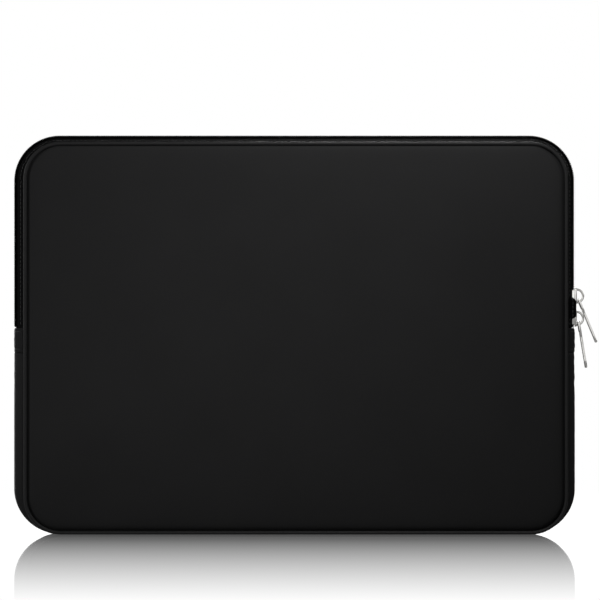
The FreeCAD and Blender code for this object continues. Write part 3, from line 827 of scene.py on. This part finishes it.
def make_slider(level, head):
    low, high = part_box(f"{level}_slider_body")
    centre = (low.z + high.z) / 2
    plan = wedge(HEAD_WIDE, TAIL_WIDE, SLIDER_LONG, head, 1.7 * MM)
    plate = facing_out(stamped([plan], PLATE, 0.5 * MM), high.x - PLATE / 2, centre)
    floor = facing_out(stamped([plan], FLOOR_PLATE, 0.4 * MM), low.x + FLOOR_PLATE / 2, centre)
    parts = [plate, floor]
    lip = 1.9 * MM
    for side in (1, -1):
        ends = []
        for width, end in ((HEAD_WIDE, head), (TAIL_WIDE, -head)):
            z = end * (SLIDER_LONG / 2 - 1.5 * MM)
            ends.append([(side * (width / 2 - FLANGE), z), (side * (width / 2 - 0.05 * MM), z)])
        corners = [ends[0][0], ends[0][1], ends[1][1], ends[1][0]]
        wall = stamped([rounded(corners, 0.25 * MM)], lip + 0.5 * MM, 0.2 * MM)
        parts.append(facing_out(wall, high.x - PLATE - lip / 2 + 0.25 * MM, centre))
    tip = head * (SLIDER_LONG / 2 - 0.6 * MM)
    root = tip - head * NECK_LONG
    neck = rounded([(0.48 * MM, tip), (-0.48 * MM, tip), (-0.4 * MM, root), (0.4 * MM, root)],
                   0.3 * MM)
    depth = high.x - low.x - PLATE / 2 - FLOOR_PLATE / 2
    middle = (high.x + low.x - PLATE / 2 + FLOOR_PLATE / 2) / 2
    parts.append(facing_out(stamped([neck], depth, 0.1 * MM), middle, centre))
    for end in (1, -1):
        foot = rounded([(1.9 * MM, 0.8 * MM), (-1.9 * MM, 0.8 * MM),
                        (-1.9 * MM, -0.8 * MM), (1.9 * MM, -0.8 * MM)], 0.7 * MM)
        lug = stamped([foot], 0.8 * MM, 0.3 * MM)
        reach = end * (BRIDGE_RADIUS - BRIDGE_THICK / 2 - 0.1 * MM)
        parts.append(facing_out(lug, high.x + 0.05 * MM, centre + reach))
    return new_piece(f"{level}_slider", *merged(parts), nickel)


def make_bridge(level):
    """The strap that carries the pull tab: half round, softly edged, wider at its feet."""
    low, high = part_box(f"{level}_slider_bridge")
    centre = (low.z + high.z) / 2
    turns = np.linspace(-math.pi / 2, math.pi / 2, 33)
    sides = 16
    corners = np.arange(sides) * 2 * math.pi / sides
    blunt = [np.sign(f(corners)) * np.abs(f(corners)) ** 0.55 for f in (np.cos, np.sin)]
    points = []
    for turn in turns:
        flare = 1 + 0.22 * smooth(0.75, 1.0, abs(turn) / (math.pi / 2))
        radius = BRIDGE_RADIUS - BRIDGE_THICK / 2 + blunt[1] * BRIDGE_THICK / 2
        y = blunt[0] * BRIDGE_WIDE / 2 * flare
        points.append(np.stack([low.x + radius * math.cos(turn), y,
                                centre + radius * math.sin(turn)], axis=-1))
    faces = grid_faces(len(turns), sides, False, True)
    faces += [tuple(range(sides)), tuple(range((len(turns) - 1) * sides, len(turns) * sides))]
    return new_piece(f"{level}_bridge", np.concatenate(points), faces, nickel)


PULL_THICK, PULL_LONG = 1.8 * MM, 32.9 * MM
LEAN = {"upper": 22.6, "lower": 9.4}  # degrees from hanging straight down


def make_pull(level):
    """A flat tab: broad round its window, waisted below it, broad and blunt at its tip."""
    top, neck, tip = 3.2 * MM, 2.3 * MM, 3.3 * MM
    half = [(top, 0.6 * MM), (top, -7.2 * MM), (neck, -9.7 * MM), (tip, -PULL_LONG + 5 * MM),
            (tip, -PULL_LONG)]
    corners = half + [(-x, y) for x, y in reversed(half)]
    radii = [1.1 * MM, 2.5 * MM, 6 * MM, 4 * MM, 1.9 * MM]
    outline = rounded(corners, radii + radii[::-1])
    window = rounded([(1.8 * MM, -0.6 * MM), (1.8 * MM, -7.2 * MM), (-1.8 * MM, -7.2 * MM),
                      (-1.8 * MM, -0.6 * MM)], 0.7 * MM)
    points, faces = facing_out(stamped([outline, window], PULL_THICK, 0.75 * MM), 0, 0)
    pull = new_piece(f"{level}_pull", points, faces, nickel)
    pivot = next(joint["pos_m"] for joint in frame["joints"] if joint["name"] == f"{level}_pull_swing")
    turn = Matrix.Rotation(math.radians(LEAN[level]), 4, Vector((0, -1, 0)))
    pull.data.transform(Matrix.Translation(pivot) @ turn)
    return pull


def make_stop(word):
    """A crimped bar across both tapes at a zip end: three ridges pressed together."""
    low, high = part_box(f"{word}_zip_stop")
    wide, tall, thick = high.y - low.y, high.z - low.z, high.x - low.x
    parts = []
    for number in (-1, 0, 1):
        across, reach = wide / 3 * number, wide * 0.185
        plan = [(across + reach, tall / 2), (across - reach, tall / 2),
                (across - reach, -tall / 2), (across + reach, -tall / 2)]
        plate = stamped([rounded(plan, 0.5 * MM)], thick - abs(number) * 0.3 * MM, 0.4 * MM)
        parts.append(facing_out(plate, (low.x + high.x) / 2, (low.z + high.z) / 2))
    return new_piece(f"{word}_stop", *merged(parts), enamel)


# --- the whole sleeve -----------------------------------------------------------------------------

ASKEW = 0.11  # sideways per unit of depth


def set_over(piece):
    """The soft parts lie a little askew: the front to the right, the back to the left."""
    piece.data.transform(Matrix(((1, -ASKEW, 0, 0), (0, 1, 0, 0), (0, 0, 1, 0), (0, 0, 0, 1))))


def settle(piece, face, node):
    """Front pieces stand for two CAD nodes each and stay where they are built, on no body; back ones
    stand for one node and go on the sleeve's body.
    Stitches have no node."""
    set_over(piece)
    if node:
        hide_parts(*([f"front_{node}_lower", f"front_{node}_upper"] if face == FRONT
                             else [f"back_{node}"]))
    if face == FRONT:
        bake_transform(piece)
    else:
        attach(piece, "sleeve")


def make_half(face, word):
    skin, foam, lining = make_panel(face, word)
    cover, core = make_piping(face, word)
    settle(skin, face, "shell")
    settle(foam, face, "foam")
    settle(lining, face, "lining")
    settle(cover, face, "piping_cover")
    settle(core, face, "piping_cord")
    settle(make_binding(face, word), face, "seam_binding")
    settle(make_tape(face, word), face, "zip_tape")
    settle(make_coil(face, word), face, "zip_coil")
    settle(make_tape_stitches(face, word), face, None)


def fixed(piece, body, node):
    if body == "sleeve":
        set_over(piece)
    if node:
        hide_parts(node)
    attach(piece, body)


make_half(FRONT, "front")
make_half(BACK, "back")
fixed(make_gusset(), "sleeve", "lower_gusset")
fixed(make_gusset_lining(), "sleeve", "gusset_lining")
TAB_LAP = 0.35 * MM  # of its fold over the tape's end
tab_top = TAB_HIGH + TAB_LAP
tab_ends = {"right": (right_at(TAB_LOW), right_at(tab_top)),
            "left": (left_at(tab_top), left_at(TAB_LOW))}
for hand, (tab_start, tab_end) in tab_ends.items():
    end_tab, tab_stitches = make_tab(hand, tab_start, tab_end)
    fixed(end_tab, "sleeve", f"{hand}_zip_end_tab")
    fixed(tab_stitches, "sleeve", None)
    fixed(make_stop(hand), "sleeve", f"{hand}_zip_stop")
for level, head in (("upper", -1), ("lower", 1)):
    fixed(make_slider(level, head), f"{level}_slider", f"{level}_slider_body")
    fixed(make_bridge(level), f"{level}_slider", f"{level}_slider_bridge")
    fixed(make_pull(level), f"{level}_pull", f"{level}_pull_tab")

# --- studio: floor, background, lights and camera -------------------------------------------------

FADE_FROM, FADE_TO = 0.021, 0.675  # from the sleeve's middle; between them the mirror fades
FLOOR_HALF, FLOOR_LEVEL = 3.0, -0.05 * MM
CAMERA_PLACE, CAMERA_LENS, SENSOR_WIDE = (4.2 * MM, -3.0, 0.165), 255.1, 36.0


def floor_material():
    """White and evenly lit. Seen from low down it mirrors, less with distance from the sleeve."""
    g = Graph("studio_floor")
    place = g.node("TexCoord", "Object")
    depth = g.node("SeparateXYZ", "Y", {"Vector": place})
    away = g.maths("ABSOLUTE", depth)
    low_view = g.ramp(g.node("LayerWeight", "Facing", {"Blend": 0.5}), 0.0, 1.0, 0.5, 0.9)
    mirror = g.maths("MULTIPLY", g.ramp(away, 0.93, 0.0, FADE_FROM, FADE_TO), low_view)
    white = g.node("Emission", 0, {"Color": (1, 1, 1, 1), "Strength": 1.0})
    gloss = g.node("BsdfGlossy", 0, {"Color": (1, 1, 1, 1), "Roughness": 0.03})
    seen = g.node("MixShader", 0, {0: mirror, 1: white, 2: gloss})
    glossy_ray = g.node("LightPath", "Is Glossy Ray")
    dim = g.node("Emission", 0, {"Color": (1, 1, 1, 1), "Strength": g.ramp(glossy_ray, 0.02, 0.35)})
    camera_ray = g.node("LightPath", "Is Camera Ray")
    g.put(g.output.inputs["Surface"], g.node("MixShader", 0, {0: camera_ray, 1: dim, 2: seen}))
    return g.material


def make_floor():
    half = FLOOR_HALF
    corners = [(-half, -half, 0), (half, -half, 0), (half, half, 0), (-half, half, 0)]
    floor = new_piece("studio_floor", corners, [(0, 1, 2, 3)], floor_material())
    floor.location.z = FLOOR_LEVEL


def make_world():
    """White to the eye. Mirrored in metal and floor it is a bright band at eye level with a low
    dark flag on the right. Its light on cloth is dim, and comes from above."""
    world = bpy.data.worlds.new("studio")
    bpy.context.scene.world = world
    world.use_nodes = True
    tree = world.node_tree
    tree.nodes.clear()

    def add(kind, **inputs):
        made = tree.nodes.new(f"ShaderNode{kind}")
        for name, value in inputs.items():
            socket = made.inputs[name.replace("_", " ")]
            if isinstance(value, bpy.types.NodeSocket):
                tree.links.new(value, socket)
            else:
                socket.default_value = value
        return made

    def maths(operation, first, second):
        made = tree.nodes.new("ShaderNodeMath")
        made.operation = operation
        tree.links.new(first, made.inputs[0])
        if second is not None:
            tree.links.new(second, made.inputs[1])
        return made.outputs[0]

    place = add("SeparateXYZ", Vector=add("TexCoord").outputs["Generated"]).outputs
    level = maths("ABSOLUTE", place["Z"], None)
    band = add("MapRange", Value=level, From_Min=0.2, From_Max=0.6, To_Min=1.25, To_Max=0.2)
    flag = add("MapRange", Value=place["X"], From_Min=0.1, From_Max=0.25, To_Min=1.0, To_Max=0.01)
    over_flag = add("MapRange", Value=place["Z"], From_Min=0.1, From_Max=0.2, To_Min=0.0, To_Max=1.0)
    open_side = maths("MAXIMUM", flag.outputs[0], over_flag.outputs[0])
    tent = maths("MULTIPLY", band.outputs[0], open_side)
    glow = add("MapRange", Value=place["Z"], From_Min=-0.3, From_Max=1.0, To_Min=0.01, To_Max=0.10)
    layers = [add("Background", Color=(1, 1, 1, 1), Strength=strength).outputs[0]
              for strength in (glow.outputs[0], tent, 1.0)]
    rays = add("LightPath").outputs
    shown = layers[0]
    for ray, background in (("Is Glossy Ray", layers[1]), ("Is Camera Ray", layers[2])):
        mix = tree.nodes.new("ShaderNodeMixShader")
        for socket, value in zip(mix.inputs, (rays[ray], shown, background)):
            tree.links.new(value, socket)
        shown = mix.outputs[0]
    tree.links.new(shown, add("OutputWorld").inputs["Surface"])


def make_light(name, place, aim, size, power):
    data = bpy.data.lights.new(name, "AREA")
    data.shape = "RECTANGLE"
    data.size, data.size_y = size
    data.energy = power
    light = bpy.data.objects.new(name, data)
    light.location = place
    light.rotation_euler = (Vector(aim) - Vector(place)).to_track_quat("-Z", "Y").to_euler()
    light.visible_camera = False
    bpy.context.scene.collection.objects.link(light)
    return light


def make_camera():
    data = bpy.data.cameras.new("camera")
    data.sensor_width = SENSOR_WIDE
    data.lens = CAMERA_LENS
    camera = bpy.data.objects.new("camera", data)
    camera.location = CAMERA_PLACE
    camera.rotation_euler = (math.pi / 2, 0, 0)
    bpy.context.scene.collection.objects.link(camera)
    bpy.context.scene.camera = camera


make_floor()
make_world()
make_camera()
for word, side in (("front", FRONT), ("back", BACK)):
    make_light(f"{word}_key", (0.095, side * 0.25, 0.49), (0.11, 0, 0.33), (0.26, 0.07), 0.95)
    fill = make_light(f"{word}_fill", (-0.065, side * 0.23, 0.19), (-0.03, 0, 0.33), (0.35, 0.4), 0.30)
    fill.visible_glossy = False
side_light = make_light("left_side", (-0.6, -0.14, 0.16), (-0.19, 0, 0.12), (0.1, 0.3), 0.7)
side_light.visible_glossy = False
bpy.context.scene.view_settings.view_transform = "Standard"
